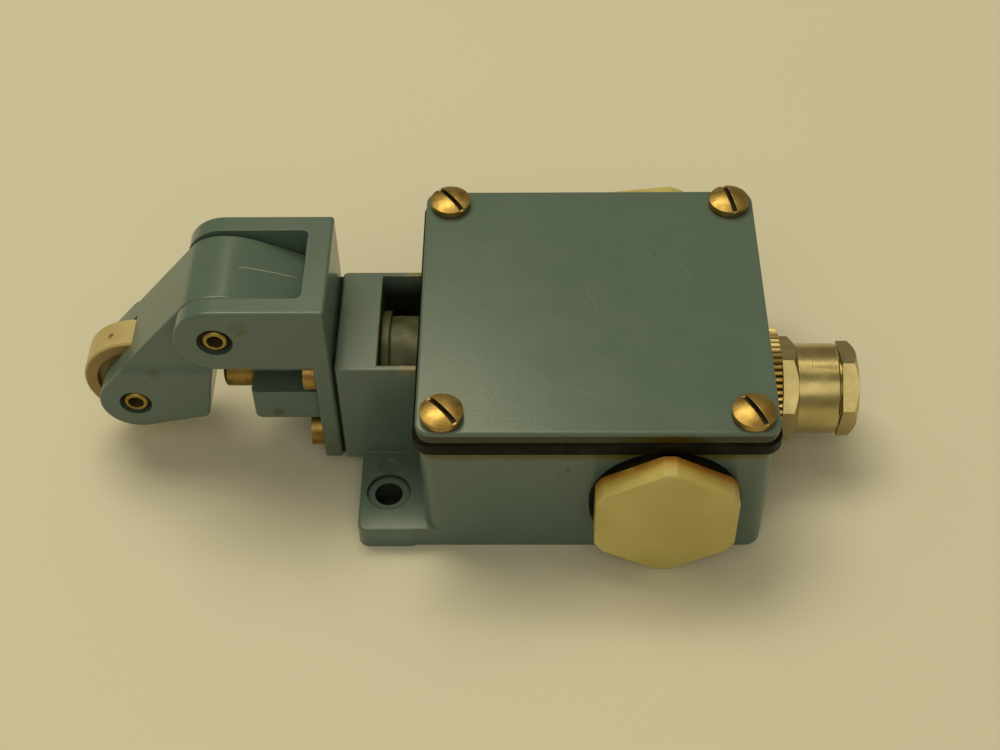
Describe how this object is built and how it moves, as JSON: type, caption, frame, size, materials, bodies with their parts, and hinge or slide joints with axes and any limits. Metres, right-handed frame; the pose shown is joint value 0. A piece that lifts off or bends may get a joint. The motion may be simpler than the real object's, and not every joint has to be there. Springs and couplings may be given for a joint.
{
  "type": "limit switch",
  "caption": "Roller-lever limit switch in a cast box: a pivoting lever pushes a plunger that moves the contacts, with a cable gland and blanking plugs.",
  "frame": {"origin": "centre of the box casting on its mounting face", "axes": "+X from the box to the cable gland, -X to the roller lever; +Z out through the cover; Y across the box"},
  "size_m": [0.1872, 0.095, 0.056],
  "materials": {
    "enamel": "semi-gloss blue-grey enamel over a casting",
    "cover_enamel": "semi-gloss blue-grey enamel with a bare plated edge",
    "black_rubber": "matt, oil-stained",
    "aged_brass": "aged and lightly scratched",
    "nickel_plate": "satin nickel plate",
    "cream_plastic": "aged cream moulding",
    "roller_plastic": "aged cream, turned",
    "moulded_phenolic": "dark brown moulding",
    "amber_plastic": "amber moulding",
    "white_plastic": "natural white moulding",
    "spring_steel": "drawn wire and stamped strip",
    "contact_metal": "bright strip with silver tips"
  },
  "bodies": {
    "base": {"body_casting": "enamel", "cover_gasket": "black_rubber", "cover_plate": "cover_enamel", "cover_screws": "aged_brass", "front_blanking_plug": "cream_plastic", "front_plug_seal": "black_rubber", "rear_blanking_plug": "cream_plastic", "rear_plug_seal": "black_rubber", "reducer_seal": "black_rubber", "knurled_reducer": "nickel_plate", "gland_body": "nickel_plate", "gland_seal": "black_rubber", "gland_washer": "nickel_plate", "gland_nut": "nickel_plate", "head_casting": "enamel", "head_gasket": "black_rubber", "head_screws": "aged_brass", "pivot_pin": "aged_brass", "plunger_wiper": "black_rubber", "plunger_seal": "black_rubber", "return_spring": "spring_steel", "guide_sleeve": "enamel", "contact_block_base": "moulded_phenolic", "contact_block_lid": "amber_plastic", "contact_block_screws": "aged_brass", "closed_fixed_contacts": "contact_metal", "open_fixed_contacts": "contact_metal", "terminal_clamps": "spring_steel", "terminal_screws": "aged_brass", "earth_clamp": "spring_steel", "earth_screw": "aged_brass"},
    "lever": {"lever_casting": "enamel", "roller_pin": "aged_brass"},
    "roller": {"roller": "roller_plastic"},
    "plunger": {"plunger": "aged_brass", "plunger_stop_ring": "spring_steel", "push_rod": "white_plastic"},
    "carrier": {"contact_carrier": "white_plastic", "closed_contact_bridge": "contact_metal", "open_contact_bridge": "contact_metal", "contact_springs": "spring_steel"}
  },
  "joints": [
    {"name": "lever_pivot", "type": "hinge", "parent": "base", "child": "lever", "pos_m": [-0.0866, 0, 0.0465], "axis": [0, -1, 0], "range_deg": [0, 14]},
    {"name": "roller_spin", "type": "hinge", "parent": "lever", "child": "roller", "pos_m": [-0.1102, 0, 0.01975], "axis": [0, 1, 0], "continuous": true},
    {"name": "plunger_slide", "type": "slide", "parent": "base", "child": "plunger", "axis": [1, 0, 0], "range_m": [0, 0.0043], "deforming": ["return_spring"]},
    {"name": "carrier_slide", "type": "slide", "parent": "base", "child": "carrier", "axis": [1, 0, 0], "range_m": [0, 0.0043]}
  ],
  "couplings": [
    {"joint": "plunger_slide", "follows": "lever_pivot", "m_per_rad": 0.01759},
    {"joint": "carrier_slide", "follows": "lever_pivot", "m_per_rad": 0.01759}
  ]
}
